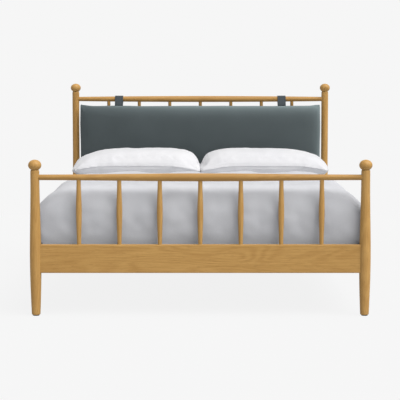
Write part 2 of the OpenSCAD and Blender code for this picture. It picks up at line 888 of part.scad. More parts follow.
module padded_form(shape) {
  front = [for (j = [0:pad_v], i = [0:pad_u])
    let (p = shape(pad_step(i, pad_u), pad_step(j, pad_v)))
      [p[0], p[1], p[2]]];
  back = [for (j = [1:pad_v - 1], i = [1:pad_u - 1])
    let (p = shape(pad_step(i, pad_u), pad_step(j, pad_v)))
      [p[0], p[1], p[3]]];
  cols = pad_u + 1;
  at_back = len(front);
  back_index = function (i, j)
    i == 0 || j == 0 || i == pad_u || j == pad_v
      ? j * cols + i
      : at_back + (j - 1) * (pad_u - 1) + i - 1;
  polyhedron(
    points = concat(front, back),
    faces = concat(
      grid_faces(pad_v + 1, cols, 0, true),
      [for (j = [0:pad_v - 1], i = [0:pad_u - 1])
        let (
          a = back_index(i, j),
          b = back_index(i + 1, j),
          d = back_index(i, j + 1),
          e = back_index(i + 1, j + 1)
        )
          each [[a, b, e], [a, e, d]]]
    ),
    convexity = 4
  );
}

// Pillow: fullest at the end that meets its neighbour, with drawn-in corners.
// Its seam droops towards the mattress at both ends.
pillow_corner_in = 0.06;
pillow_side_in = 0.035;
pillow_rest_z = mattress_top_z + soft_gap;
pillow_shape = function (u, v)
  let (
    seam = (pillow_seam_h - soft_gap) * (1 - 0.45 * pow(abs(u), 4)),
    end_fall = pow(1 - pow(abs(u), u < 0 ? 5.4 : 2.3), 0.55),
    full = end_fall * pow(1 - pow(abs(v), 2.8), 0.75)
  )
    [
      pillow_l / 2 * u * (1 - pillow_corner_in * pow(v, 4) * abs(u)),
      pillow_w / 2 * v * (1 - pillow_side_in * (1 - u * u) * abs(v)),
      seam + (pillow_h - soft_gap - seam) * full,
      max(0, seam * (1 - 2.2 * full))
    ];

module pillow(side) {
  color(white_cotton)
    mirror([side > 0 ? 0 : 1, 0, 0])
      translate([pillow_gap / 2 + pillow_l / 2, pillow_y, pillow_rest_z])
        padded_form(pillow_shape);
}

// Hanging cushion: flat faces that round over near the seam, and ears at the corners
cushion_half_h = (cushion_top_z + cushion_ear - cushion_bottom_z) / 2;
cushion_side_in = 2;
cushion_shape = function (u, v)
  let (
    full = pow((1 - pow(abs(u), 22)) * (1 - pow(abs(v), 6)), 0.55),
    crown = 0.82 + 0.18 * (1 - u * u) * (1 - v * v),
    ear = cushion_ear * (1 - pow(abs(u), 30)) * pow(abs(v), 8) * sign(v)
  )
    [
      cushion_half_w * u - cushion_side_in * sign(u) * pow(abs(u), 8) * (1 - pow(abs(v), 10)),
      cushion_half_h * v - ear,
      cushion_t / 2 * full * crown,
      -cushion_t / 2 * full * crown
    ];

module headboard_cushion() {
  color(slate)
    translate([0, cushion_mid_y, cushion_bottom_z + cushion_half_h])
      rotate([90, 0, 0])
        padded_form(cushion_shape);
}

// Strap: a loop round the head top rail that closes on the cushion's top seam
module loop_area(r, tip_half, tip) {
  // Lines from the tip that just touch the circle
  reach = norm(tip);
  lean = atan2(tip[1], tip[0]);
  open = acos(r / reach);
  circle(r = r, $fn = round_faces);
  polygon([
    [r * cos(lean - open), r * sin(lean - open)],
    tip + tip_half * [cos(lean - 90), sin(lean - 90)],
    tip + tip_half * [cos(lean + 90), sin(lean + 90)],
    [r * cos(lean + open), r * sin(lean + open)]
  ]);
}

module cushion_strap(side) {
  rail_r = top_rail_r(strap_x - strap_w / 2, head_rail_taper) + soft_gap + fit;
  seam = [cushion_mid_y - post_y, -cushion_drop];
  tip = seam + [0, strap_t * abs(seam[0]) / norm(seam) - soft_gap];
  inner_tip = tip * (1 - strap_t / norm(tip));
  color(strap_slate)
    translate([side * strap_x - strap_w / 2, post_y, head_rail_z])
      rotate([90, 0, 90])
        linear_extrude(height = strap_w)
          difference() {
            loop_area(rail_r + strap_t, strap_t, tip);
            loop_area(rail_r, 0.4, inner_tip);
          }
}

post(-1, 1);  // head_post_left
post(1, 1);  // head_post_right
post(-1, -1);  // foot_post_left
post(1, -1);  // foot_post_right
finial(-1, 1);  // head_finial_left
finial(1, 1);  // head_finial_right
finial(-1, -1);  // foot_finial_left
finial(1, -1);  // foot_finial_right
top_rail(1);  // head_top_rail
top_rail(-1);  // foot_top_rail
lower_rail(1);  // head_lower_rail
lower_rail(-1);  // foot_lower_rail
spindle(1, 0);  // head_spindle_1
spindle(1, 1);  // head_spindle_2
spindle(1, 2);  // head_spindle_3
spindle(1, 3);  // head_spindle_4
spindle(1, 4);  // head_spindle_5
spindle(1, 5);  // head_spindle_6
spindle(1, 6);  // head_spindle_7
spindle(-1, 0);  // foot_spindle_1
spindle(-1, 1);  // foot_spindle_2
spindle(-1, 2);  // foot_spindle_3
spindle(-1, 3);  // foot_spindle_4
spindle(-1, 4);  // foot_spindle_5
spindle(-1, 5);  // foot_spindle_6
spindle(-1, 6);  // foot_spindle_7
side_rail(-1);  // side_rail_left
side_rail(1);  // side_rail_right
ledger(-1);  // ledger_left
ledger(1);  // ledger_right
centre_beam();
beam_bracket(1);  // beam_bracket_head
beam_bracket(-1);  // beam_bracket_foot
slat(0);  // slat_1
slat(1);  // slat_2
slat(2);  // slat_3
slat(3);  // slat_4
slat(4);  // slat_5
slat(5);  // slat_6
slat(6);  // slat_7
slat(7);  // slat_8
slat(8);  // slat_9
slat(9);  // slat_10
slat(10);  // slat_11
slat(11);  // slat_12
rail_studs();
stud_washers();
stud_nuts();
slat_screws();
ledger_screws();
bracket_screws();
floor_glides();
mattress();
duvet();
pillow(-1);  // pillow_left
pillow(1);  // pillow_right
headboard_cushion();
cushion_strap(-1);  // cushion_strap_left
cushion_strap(1);  // cushion_strap_right
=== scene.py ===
import math

import bmesh
import bpy
import numpy as np
from mathutils import Matrix, Vector, kdtree, noise


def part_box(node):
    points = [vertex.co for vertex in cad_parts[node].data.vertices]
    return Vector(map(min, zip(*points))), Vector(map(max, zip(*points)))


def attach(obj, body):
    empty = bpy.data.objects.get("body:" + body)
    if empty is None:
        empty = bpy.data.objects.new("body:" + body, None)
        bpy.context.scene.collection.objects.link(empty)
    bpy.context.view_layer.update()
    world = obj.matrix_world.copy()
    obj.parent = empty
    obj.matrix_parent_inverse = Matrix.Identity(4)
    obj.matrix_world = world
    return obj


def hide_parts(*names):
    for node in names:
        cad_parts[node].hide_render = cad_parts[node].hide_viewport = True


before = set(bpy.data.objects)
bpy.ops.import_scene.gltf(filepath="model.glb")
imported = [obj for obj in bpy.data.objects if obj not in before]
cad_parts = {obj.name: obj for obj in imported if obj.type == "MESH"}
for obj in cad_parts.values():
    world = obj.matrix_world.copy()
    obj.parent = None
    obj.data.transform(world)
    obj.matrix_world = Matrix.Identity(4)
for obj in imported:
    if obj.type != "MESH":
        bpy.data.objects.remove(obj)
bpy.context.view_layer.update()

# Posts
# Four posts of solid oak, each turned from one blank. A post swells where the rails
# enter it, and ends in a rounded shoulder and a neck that its ball sits on. The left
# head post takes the darker copy of the oak, which is painted shade.
toe_r = 0.02025
toe_round = 0.004
belly_r = 0.027
belly_z = 0.270
slim_r = 0.021
slim_z = 0.640
first_turn_z = 0.015
turn_step = 0.0125
shoulder_h = 0.009
neck_r = 0.017
glide_t = 0.004
ball_r = 0.031
ball_half_h = 0.026


def node(tree, kind, inputs=(), **settings):
    """Adds a shader node with its settings, and values or links on its inputs."""
    made = tree.nodes.new(kind)
    for name, value in settings.items():
        setattr(made, name, value)
    for name, value in dict(inputs).items():
        if isinstance(value, bpy.types.NodeSocket):
            tree.links.new(value, made.inputs[name])
        else:
            made.inputs[name].default_value = value
    return made


def math_node(tree, operation, *values):
    return node(tree, "ShaderNodeMath", dict(enumerate(values)), operation=operation).outputs[0]


def ramp(tree, value, low, high):
    """Maps value from low..high to 0..1, smoothly."""
    inputs = {"Value": value, "From Min": low, "From Max": high}
    return node(tree, "ShaderNodeMapRange", inputs, interpolation_type="SMOOTHSTEP").outputs[0]


def mixed(tree, share, first, second, blend="MIX"):
    """Mixes two colours, or blends the second onto the first."""
    made = tree.nodes.new("ShaderNodeMix")
    made.data_type = "RGBA"
    made.blend_type = blend
    for socket, value in ((made.inputs[0], share), (made.inputs[6], first), (made.inputs[7], second)):
        if isinstance(value, bpy.types.NodeSocket):
            tree.links.new(value, socket)
        else:
            socket.default_value = value
    return made.outputs[2]


def colour(red, green, blue):
    """A colour given in sRGB steps of 0 to 255, as linear RGBA."""
    def linear(step):
        share = step / 255
        return share / 12.92 if share <= 0.04045 else ((share + 0.055) / 1.055) ** 2.4
    return (linear(red), linear(green), linear(blue), 1)


def new_group(name, inputs, outputs):
    """An empty shader node group, with its input and output nodes."""
    group = bpy.data.node_groups.new(name, "ShaderNodeTree")
    for label, kind in inputs:
        group.interface.new_socket(label, in_out="INPUT", socket_type="NodeSocket" + kind)
    for label, kind in outputs:
        group.interface.new_socket(label, in_out="OUTPUT", socket_type="NodeSocket" + kind)
    return group, group.nodes.new("NodeGroupInput"), group.nodes.new("NodeGroupOutput")


def make_grain_group():
    """Wood grain that runs along the vector's X: figure, fibres, pores and a slow change of tone."""
    group, given, made = new_group(
        "wood_grain",
        [("Vector", "Vector"), ("Pale", "Color"), ("Deep", "Color"), ("Pore", "Color"), ("Figure", "Float")],
        [("Color", "Color"), ("Roughness", "Float"), ("Height", "Float")],
    )

    def stretched(along, across, detail, distortion=0.0):
        scaled = node(
            group, "ShaderNodeMapping",
            {"Vector": given.outputs["Vector"], "Scale": (along, across, across)},
        )
        inputs = {"Vector": scaled.outputs[0], "Scale": 1, "Detail": detail, "Distortion": distortion}
        return node(group, "ShaderNodeTexNoise", inputs).outputs["Fac"]

    rings = stretched(0.9, 9, 2, 0.4)
    bands = math_node(group, "SINE", math_node(group, "MULTIPLY", rings, 95))
    figure = math_node(group, "MULTIPLY_ADD", bands, 0.5, 0.5)
    fibres = stretched(7, 420, 3)
    pores = ramp(group, stretched(28, 900, 1), 0.60, 0.74)
    tone = stretched(1.4, 5, 1)
    streak = math_node(group, "MULTIPLY", figure, given.outputs["Figure"])
    streak = math_node(group, "ADD", streak, ramp(group, fibres, 0.25, 0.8))
    share = math_node(group, "MULTIPLY", streak, 0.6)
    base = mixed(group, share, given.outputs["Pale"], given.outputs["Deep"])
    toned = mixed(group, ramp(group, tone, 0.3, 0.75), base, given.outputs["Deep"])
    base = mixed(group, 0.22, base, toned)
    base = mixed(group, math_node(group, "MULTIPLY", pores, 0.5), base, given.outputs["Pore"])
    group.links.new(base, made.inputs["Color"])
    rough = math_node(group, "MULTIPLY_ADD", streak, 0.08, 0.46)
    group.links.new(math_node(group, "MULTIPLY_ADD", pores, 0.18, rough), made.inputs["Roughness"])
    height = math_node(group, "MULTIPLY_ADD", fibres, 0.5, math_node(group, "MULTIPLY", pores, -0.6))
    group.links.new(height, made.inputs["Height"])
    return group


grain_group = make_grain_group()
grain_turn = {"X": (0, 0, 0), "Y": (0, 0, -math.pi / 2), "Z": (0, math.pi / 2, 0)}


def wood(name, grain, pale, deep, pore, figure):
    """A wood whose grain runs along the axis named by grain."""
    material = bpy.data.materials.new(name)
    material.use_nodes = True
    tree = material.node_tree
    shader = tree.nodes["Principled BSDF"]
    place = node(tree, "ShaderNodeTexCoord").outputs["Object"]
    turned_place = node(tree, "ShaderNodeMapping", {"Vector": place, "Rotation": grain_turn[grain]})
    inputs = {"Vector": turned_place.outputs[0], "Pale": pale, "Deep": deep, "Pore": pore, "Figure": figure}
    surface = node(tree, "ShaderNodeGroup", inputs, node_tree=grain_group)
    relief = node(
        tree, "ShaderNodeBump",
        {"Height": surface.outputs["Height"], "Strength": 0.25, "Distance": 0.0006},
    )
    bounced = node(tree, "ShaderNodeLightPath").outputs["Is Diffuse Ray"]
    tone = mixed(tree, bounced, surface.outputs["Color"], colour(132, 128, 124))
    tree.links.new(tone, shader.inputs["Base Color"])
    tree.links.new(surface.outputs["Roughness"], shader.inputs["Roughness"])
    tree.links.new(relief.outputs[0], shader.inputs["Normal"])
    shader.inputs["Specular IOR Level"].default_value = 0.35
    return material


oak_pale = colour(210, 165, 97)
oak_deep = colour(182, 136, 72)
oak_pore = colour(138, 96, 48)
oak_figure = 0.55
oak_along = {
    axis: wood("oak_grain_" + axis.lower(), axis, oak_pale, oak_deep, oak_pore, oak_figure)
    for axis in "XYZ"
}
# A darker copy of the same oak, as painted shade: the top rails, the head spindles and the left head post
# take it where they lie in shadow.
oak_painted_shade_pale = colour(199, 154, 88)
oak_painted_shade_deep = colour(172, 127, 66)
oak_painted_shade_along = {
    axis: wood("oak_shaded_" + axis.lower(), axis, oak_painted_shade_pale, oak_painted_shade_deep, oak_pore, oak_figure)
    for axis in "XZ"
}


def finish_mesh(name, bm, material, sharp=0.6):
    """Makes the object of a finished bmesh, smooth except at edges sharper than that angle."""
    for face in bm.faces:
        face.smooth = True
    for edge in bm.edges:
        edge.smooth = edge.calc_face_angle(0) < sharp
    mesh = bpy.data.meshes.new(name)
    bm.to_mesh(mesh)
    bm.free()
    mesh.materials.append(material)
    piece = bpy.data.objects.new(name, mesh)
    bpy.context.scene.collection.objects.link(piece)
    return piece


def turned(name, profile, place, material, steps=64):
    """A closed piece spun from (radius, height) points that start and end on its axis."""
    bm = bmesh.new()
    line = [bm.verts.new((radius, 0, height)) for radius, height in profile]
    edges = [bm.edges.new(pair) for pair in zip(line, line[1:])]
    bmesh.ops.spin(
        bm, geom=line + edges, cent=(0, 0, 0), axis=(0, 0, 1), angle=2 * math.pi, steps=steps, use_merge=True
    )
    bmesh.ops.remove_doubles(bm, verts=bm.verts, dist=1e-6)
    bmesh.ops.recalc_face_normals(bm, faces=bm.faces)
    bm.transform(place)
    return finish_mesh(name, bm, material)


def smooth_step(share):
    share = min(1, max(0, share))
    return share * share * (3 - 2 * share)


def post_radius(z):
    if z < belly_z:
        return toe_r + (belly_r - toe_r) * math.sin(math.pi / 2 * z / belly_z)
    return belly_r - (belly_r - slim_r) * smooth_step((z - belly_z) / (slim_z - belly_z))


def arc(steps, start=0, end=90):
    """Angles in radians from start to end, which are in degrees."""
    return [math.radians(start + (end - start) * i / steps) for i in range(steps + 1)]


neck_angle = -math.degrees(math.acos(neck_r / ball_r))


def stand_post(end, side):
    low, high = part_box(f"{end}_finial_{side}")
    top = high.z - ball_half_h + ball_half_h * math.sin(math.radians(neck_angle))
    straight = top - shoulder_h
    profile = [(0, glide_t)]
    profile += [
        (toe_r - toe_round * (1 - math.sin(a)), glide_t + toe_round * (1 - math.cos(a))) for a in arc(4)
    ]
    profile += [(post_radius(z), z) for z in np.arange(first_turn_z, slim_z + 0.001, turn_step)]
    profile += [
        (neck_r + (slim_r - neck_r) * math.cos(a), straight + shoulder_h * math.sin(a)) for a in arc(6)
    ]
    profile += [(0, top)]
    axis = (low + high) / 2
    place = Matrix.Translation((axis.x, axis.y, 0))
    # The left head post takes the darker oak: painted shade.
    tone = oak_painted_shade_along if (end, side) == ("head", "left") else oak_along
    piece = turned(f"oak_{end}_post_{side}", profile, place, tone["Z"])
    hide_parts(f"{end}_post_{side}")
    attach(piece, "frame")


# Ball finials
# A flattened ball of the same oak tops each post. It is turned, with a dowel at its
# underside that is glued into the post.
dowel_r = 0.007
dowel_l = 0.018


def set_finial(end, side):
    low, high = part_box(f"{end}_finial_{side}")
    middle = high.z - ball_half_h
    neck = middle + ball_half_h * math.sin(math.radians(neck_angle))
    profile = [(0, neck - dowel_l), (dowel_r, neck - dowel_l), (dowel_r, neck)]
    profile += [
        (max(0, ball_r * math.cos(a)), middle + ball_half_h * math.sin(a)) for a in arc(28, neck_angle, 90)
    ]
    axis = (low + high) / 2
    place = Matrix.Translation((axis.x, axis.y, 0))
    piece = turned(f"oak_{end}_ball_{side}", profile, place, oak_along["Z"])
    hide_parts(f"{end}_finial_{side}")
    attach(piece, "frame")


for end in ("head", "foot"):
    for side in ("left", "right"):
        stand_post(end, side)
        set_finial(end, side)

# Top rails
# One rail at each end, turned from oak and thicker at its middle, in the darker copy
# of the oak that is painted shade. Its ends are glued into sockets in the posts.
rail_end_r = 0.01325
rail_mid_r = 0.0187
rail_span = 0.754
rail_taper = {"head": 0.8, "foot": 2}


def rail_radius(end, x):
    share = math.cos(math.pi / 2 * min(1, abs(x) / rail_span))
    return rail_end_r + (rail_mid_r - rail_end_r) * max(0, share) ** rail_taper[end]


for end in ("head", "foot"):
    low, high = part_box(f"{end}_top_rail")
    profile = [(0, low.x), (rail_end_r, low.x)]
    profile += [(rail_radius(end, x), x) for x in np.linspace(-rail_span, rail_span, 61)]
    profile += [(rail_end_r, high.x), (0, high.x)]
    axis = (low + high) / 2
    lying = Matrix.Translation((0, axis.y, axis.z)) @ Matrix.Rotation(math.pi / 2, 4, "Y")
    # The darker copy of the oak is painted shade.
    piece = turned(f"oak_{end}_top_rail", profile, lying, oak_painted_shade_along["X"])
    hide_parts(f"{end}_top_rail")
    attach(piece, "frame")

# Spindles
# Seven turned oak spindles at each end, thickest halfway, with round tenons that go
# into the lower rail and the top rail. Those at the head take the darker copy of the oak,
# which is painted shade.
spindle_end_r = 0.010
spindle_mid_r = 0.0137
tenon_r = 0.0075
rail_top_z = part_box("foot_lower_rail")[1].z

for end in ("head", "foot"):
    rail_low, rail_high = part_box(f"{end}_top_rail")
    rail_z = (rail_low.z + rail_high.z) / 2
    for count in range(1, 8):
        low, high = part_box(f"{end}_spindle_{count}")
        axis = (low + high) / 2
        shoulder = rail_z - math.sqrt(rail_radius(end, axis.x) ** 2 - spindle_end_r ** 2)
        swell = [
            spindle_end_r + (spindle_mid_r - spindle_end_r) * math.sin(math.pi * share) ** 2
            for share in np.linspace(0, 1, 33)
        ]
        heights = np.linspace(rail_top_z, shoulder, 33)
        profile = [(0, low.z), (tenon_r, low.z), (tenon_r, rail_top_z)]
        profile += list(zip(swell, heights))
        profile += [(tenon_r, shoulder), (tenon_r, high.z), (0, high.z)]
        place = Matrix.Translation((axis.x, axis.y, 0))
        # The head spindles take the darker oak: painted shade.
        tone = oak_painted_shade_along if end == "head" else oak_along
        piece = turned(f"oak_{end}_spindle_{count}", profile, place, tone["Z"], steps=40)
        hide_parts(f"{end}_spindle_{count}")
        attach(piece, "frame")

# Lower rails and side rails
# Four plain oak boards with rounded long edges, mortised into the posts. The side
# rails hold the nut pockets of their fittings.


def paint(nodes, material):
    """Gives CAD nodes whose shape stays their material."""
    for name in nodes:
        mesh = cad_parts[name].data
        mesh.materials.clear()
        mesh.materials.append(material)


paint(["head_lower_rail", "foot_lower_rail"], oak_along["X"])
paint(["side_rail_left", "side_rail_right"], oak_along["Y"])

# Slatted base
# Sawn pine: a ledger screwed along each side rail, a centre beam on two steel
# brackets, and twelve slats screwed down to the ledgers.
pine_pale = colour(228, 200, 152)
pine_deep = colour(205, 165, 110)
pine_pore = colour(176, 130, 78)
pine_figure = 0.8
pine_across = wood("pine_grain_x", "X", pine_pale, pine_deep, pine_pore, pine_figure)
pine_along = wood("pine_grain_y", "Y", pine_pale, pine_deep, pine_pore, pine_figure)

paint([f"slat_{count}" for count in range(1, 13)], pine_across)
paint(["ledger_left", "ledger_right", "centre_beam"], pine_along)

# Fittings
# Zinc-plated studs, half-moon washers, nuts and wood screws, two folded steel beam
# brackets, and the plastic glides under the posts.


def make_scuff_group():
    """Small changes of tone and fine scratches, for metal and plastic."""
    group, given, made = new_group(
        "scuffs",
        [("Vector", "Vector"), ("Base", "Color"), ("Worn", "Color"), ("Roughness", "Float")],
        [("Color", "Color"), ("Roughness", "Float"), ("Height", "Float")],
    )
    place = given.outputs["Vector"]
    clouds = node(group, "ShaderNodeTexNoise", {"Vector": place, "Scale": 70, "Detail": 3}).outputs["Fac"]
    marks = node(group, "ShaderNodeTexNoise", {"Vector": place, "Scale": 900, "Detail": 2}).outputs["Fac"]
    wear_and_painted_light = ramp(group, clouds, 0.45, 0.7)
    group.links.new(mixed(group, wear_and_painted_light, given.outputs["Base"], given.outputs["Worn"]), made.inputs["Color"])
    rough = math_node(group, "MULTIPLY_ADD", wear_and_painted_light, 0.14, given.outputs["Roughness"])
    group.links.new(rough, made.inputs["Roughness"])
    group.links.new(math_node(group, "MULTIPLY", marks, 0.5), made.inputs["Height"])
    return group


scuff_group = make_scuff_group()


def hard_finish(name, base, wear_and_painted_light, roughness, metallic):
    material = bpy.data.materials.new(name)
    material.use_nodes = True
    tree = material.node_tree
    shader = tree.nodes["Principled BSDF"]
    place = node(tree, "ShaderNodeTexCoord").outputs["Object"]
    inputs = {"Vector": place, "Base": base, "Worn": wear_and_painted_light, "Roughness": roughness}
    surface = node(tree, "ShaderNodeGroup", inputs, node_tree=scuff_group)
    relief = node(
        tree, "ShaderNodeBump",
        {"Height": surface.outputs["Height"], "Strength": 0.2, "Distance": 0.0002},
    )
    tree.links.new(surface.outputs["Color"], shader.inputs["Base Color"])
    tree.links.new(surface.outputs["Roughness"], shader.inputs["Roughness"])
    tree.links.new(relief.outputs[0], shader.inputs["Normal"])
    shader.inputs["Metallic"].default_value = metallic
    return material


zinc = hard_finish(
    "zinc_plate", colour(196, 199, 203), colour(170, 174, 180), roughness=0.32, metallic=1
)
steel = hard_finish(
    "bracket_steel", colour(150, 156, 162), colour(120, 125, 130), roughness=0.42, metallic=1
)
glide_plastic = hard_finish(
    "glide_plastic", colour(84, 82, 78), colour(70, 68, 65), roughness=0.55, metallic=0
)

paint(
    ["rail_studs", "stud_washers", "stud_nuts", "slat_screws", "ledger_screws", "bracket_screws"], zinc
)
paint(["beam_bracket_head", "beam_bracket_foot"], steel)
paint(["floor_glides"], glide_plastic)

# Mattress
# A sprung mattress in a fitted cotton sheet, which is drawn tight over its top and
# sides and rounds over its edges.
mattress_low, mattress_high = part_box("mattress")
mattress_corner_r = 0.060
mattress_edge_r = 0.036
seam_step = 0.004


def make_weave_group():
    """Plain weave on a UV map in metres, with painted shade between its threads, slubs and a soft change of
    tone.
    """
    group, given, made = new_group(
        "plain_weave",
        [
            ("Vector", "Vector"), ("Place", "Vector"), ("Thread", "Float"),
            ("Base", "Color"), ("Shade", "Color"),
        ],
        [("Color", "Color"), ("Roughness", "Float"), ("Height", "Float")],
    )
    uv = node(group, "ShaderNodeSeparateXYZ", {"Vector": given.outputs["Vector"]})
    turn = math_node(group, "DIVIDE", math.pi, given.outputs["Thread"])
    warp = math_node(group, "SINE", math_node(group, "MULTIPLY", uv.outputs["X"], turn))
    weft = math_node(group, "SINE", math_node(group, "MULTIPLY", uv.outputs["Y"], turn))
    crossing = math_node(group, "MULTIPLY", warp, weft)
    warp_height = math_node(group, "ABSOLUTE", warp)
    weft_height = math_node(group, "ABSOLUTE", weft)
    body = math_node(group, "MAXIMUM", warp_height, weft_height)
    threads = math_node(group, "MULTIPLY_ADD", crossing, 0.35, body)
    fuzz_inputs = {"Vector": given.outputs["Place"], "Scale": 260, "Detail": 3, "Roughness": 0.6}
    fuzz = node(group, "ShaderNodeTexNoise", fuzz_inputs).outputs["Fac"]
    cloud_inputs = {"Vector": given.outputs["Place"], "Scale": 5, "Detail": 2}
    clouds = node(group, "ShaderNodeTexNoise", cloud_inputs).outputs["Fac"]
    # The low places between the threads are painted darker, as painted shade; the clouds and the slubs are
    # the cloth's own tone.
    dark = math_node(group, "MULTIPLY", ramp(group, threads, 1.1, 0.5), 0.45)
    dark = math_node(group, "MULTIPLY_ADD", ramp(group, clouds, 0.35, 0.75), 0.25, dark)
    dark = math_node(group, "MULTIPLY_ADD", ramp(group, fuzz, 0.4, 0.7), 0.2, dark)
    group.links.new(mixed(group, dark, given.outputs["Base"], given.outputs["Shade"]), made.inputs["Color"])
    group.links.new(math_node(group, "MULTIPLY_ADD", fuzz, 0.15, 0.78), made.inputs["Roughness"])
    group.links.new(math_node(group, "MULTIPLY_ADD", fuzz, 0.5, threads), made.inputs["Height"])
    return group


weave_group = make_weave_group()


def make_stitch_group():
    """A row of stitches in a shallow groove, from the distance to a seam and the way along it."""
    group, given, made = new_group(
        "stitches",
        [("Away", "Float"), ("Along", "Float"), ("Line", "Float"), ("Pitch", "Float")],
        [("Mask", "Float"), ("Height", "Float")],
    )
    off = math_node(group, "SUBTRACT", given.outputs["Away"], given.outputs["Line"])
    off = math_node(group, "ABSOLUTE", off)
    turns = math_node(group, "DIVIDE", given.outputs["Along"], given.outputs["Pitch"])
    beat = math_node(group, "SINE", math_node(group, "MULTIPLY", turns, 2 * math.pi))
    thread = math_node(group, "MULTIPLY", ramp(group, off, 0.0009, 0.0003), ramp(group, beat, -0.7, -0.2))
    groove = ramp(group, off, 0.0032, 0.0004)
    group.links.new(thread, made.inputs["Mask"])
    group.links.new(math_node(group, "MULTIPLY_ADD", groove, -0.8, thread), made.inputs["Height"])
    return group


stitch_group = make_stitch_group()
stitch_line = 0.0095
stitch_pitch = 0.0042


def cloth(name, base, shade, thread, relief_depth, sheen, faded=None):
    """A woven cloth with that distance between threads, and a row of stitches beside its seams.

    Where its mesh is marked with painted light, it turns to the given lighter colour, as painted light.
    """
    material = bpy.data.materials.new(name)
    material.use_nodes = True
    tree = material.node_tree
    shader = tree.nodes["Principled BSDF"]
    uv = node(tree, "ShaderNodeUVMap", uv_map="cloth").outputs[0]
    place = node(tree, "ShaderNodeTexCoord").outputs["Object"]
    inputs = {"Vector": uv, "Place": place, "Thread": thread, "Base": base, "Shade": shade}
    surface = node(tree, "ShaderNodeGroup", inputs, node_tree=weave_group)
    relief = node(
        tree, "ShaderNodeBump",
        {"Height": surface.outputs["Height"], "Strength": 0.35, "Distance": relief_depth},
    )
    away = node(tree, "ShaderNodeAttribute", attribute_name="seam_away").outputs["Fac"]
    along = node(tree, "ShaderNodeAttribute", attribute_name="seam_along").outputs["Fac"]
    inputs = {"Away": away, "Along": along, "Line": stitch_line, "Pitch": stitch_pitch}
    stitches = node(tree, "ShaderNodeGroup", inputs, node_tree=stitch_group)
    sewn = node(
        tree, "ShaderNodeBump",
        {
            "Height": stitches.outputs["Height"], "Strength": 0.6,
            "Distance": 0.001, "Normal": relief.outputs[0],
        },
    )
    mark = math_node(tree, "MULTIPLY", stitches.outputs["Mask"], 0.6)
    tone = mixed(tree, mark, surface.outputs["Color"], shade, blend="MULTIPLY")
    # Painted light: where the mesh is marked, the colour turns lighter.
    if faded:
        wear_and_painted_light = node(tree, "ShaderNodeAttribute", attribute_name="faded").outputs["Fac"]
        tone = mixed(tree, wear_and_painted_light, tone, faded)
    tree.links.new(tone, shader.inputs["Base Color"])
    tree.links.new(surface.outputs["Roughness"], shader.inputs["Roughness"])
    tree.links.new(sewn.outputs[0], shader.inputs["Normal"])
    shader.inputs["Specular IOR Level"].default_value = 0.2
    shader.inputs["Sheen Weight"].default_value = sheen
    shader.inputs["Sheen Roughness"].default_value = 0.5
    return material


def cloth_uv(mesh):
    """Lays the cloth's UV map in metres, from the side that each face looks to."""
    layer = mesh.uv_layers.new(name="cloth")
    corners = np.empty(len(mesh.loops), int)
    mesh.loops.foreach_get("vertex_index", corners)
    points = np.empty(len(mesh.vertices) * 3)
    mesh.vertices.foreach_get("co", points)
    points = points.reshape(-1, 3)[corners]
    normals = np.empty(len(mesh.polygons) * 3)
    mesh.polygons.foreach_get("normal", normals)
    totals = np.empty(len(mesh.polygons), int)
    mesh.polygons.foreach_get("loop_total", totals)
    facing = np.repeat(np.abs(normals.reshape(-1, 3)).argmax(1), totals)
    flat = np.where((facing == 0)[:, None], points[:, [1, 2]], points[:, [0, 2]])
    flat = np.where((facing == 2)[:, None], points[:, [0, 1]], flat)
    layer.data.foreach_set("uv", flat.ravel())


def search_tree(points):
    """A tree that finds the nearest of some points."""
    tree = kdtree.KDTree(len(points))
    for i, point in enumerate(points):
        tree.insert(point, i)
    tree.balance()
    return tree


def mark_seams(mesh, lines):
    """Stores, for each point, its distance from the nearest seam line and the way along that line."""
    spots = []
    for line in lines:
        run = 0
        for start, end in zip(line, line[1:]):
            spots.append((start, (end - start).normalized(), run))
            run += (end - start).length
    near = search_tree([spot[0] for spot in spots])
    away = mesh.attributes.new("seam_away", "FLOAT", "POINT")
    along = mesh.attributes.new("seam_along", "FLOAT", "POINT")
    for vert in mesh.vertices:
        place, i, distance = near.find(vert.co)
        step = (vert.co - place).dot(spots[i][1])
        away.data[vert.index].value = math.sqrt(max(0, distance ** 2 - step ** 2))
        along.data[vert.index].value = spots[i][2] + step


def mesh_points(mesh, what="co"):
    """The places, or the normals, of a mesh's points."""
    points = np.empty(len(mesh.vertices) * 3)
    mesh.vertices.foreach_get(what, points)
    return points.reshape(-1, 3)


def push(mesh, rises):
    """Moves each point of a mesh along its normal by its own rise."""
    points = mesh_points(mesh) + mesh_points(mesh, "normal") * np.array(rises)[:, None]
    mesh.vertices.foreach_set("co", points.ravel())
    mesh.update()


def sew(mesh, ridge, channel, width=0.005):
    """Raises the cloth along its marked seams and sinks it where the stitches pull it in."""
    away = np.empty(len(mesh.vertices))
    mesh.attributes["seam_away"].data.foreach_get("value", away)
    push(mesh, ridge * np.exp(-(away / width) ** 2) - channel * np.exp(-(away / width - 2) ** 2))


def keep_within(mesh, low, high):
    points = np.clip(mesh_points(mesh), np.array(low), np.array(high))
    mesh.vertices.foreach_set("co", points.ravel())
    mesh.update()


def soften(mesh, depth, size, seed):
    """Moves the points of a soft piece along their normals by smooth noise."""
    shift = Vector((seed, 0, 0))
    push(mesh, [depth * noise.noise(vert.co / size + shift) for vert in mesh.vertices])


def apply_modifiers(piece):
    """Bakes a piece's modifiers into its mesh."""
    graph = bpy.context.evaluated_depsgraph_get()
    baked = bpy.data.meshes.new_from_object(piece.evaluated_get(graph))
    piece.modifiers.clear()
    old = piece.data
    piece.data = baked
    bpy.data.meshes.remove(old)


def remesh(piece, voxel):
    modifier = piece.modifiers.new("remesh", "REMESH")
    modifier.mode = "VOXEL"
    modifier.voxel_size = voxel
    modifier.use_smooth_shade = True
    apply_modifiers(piece)


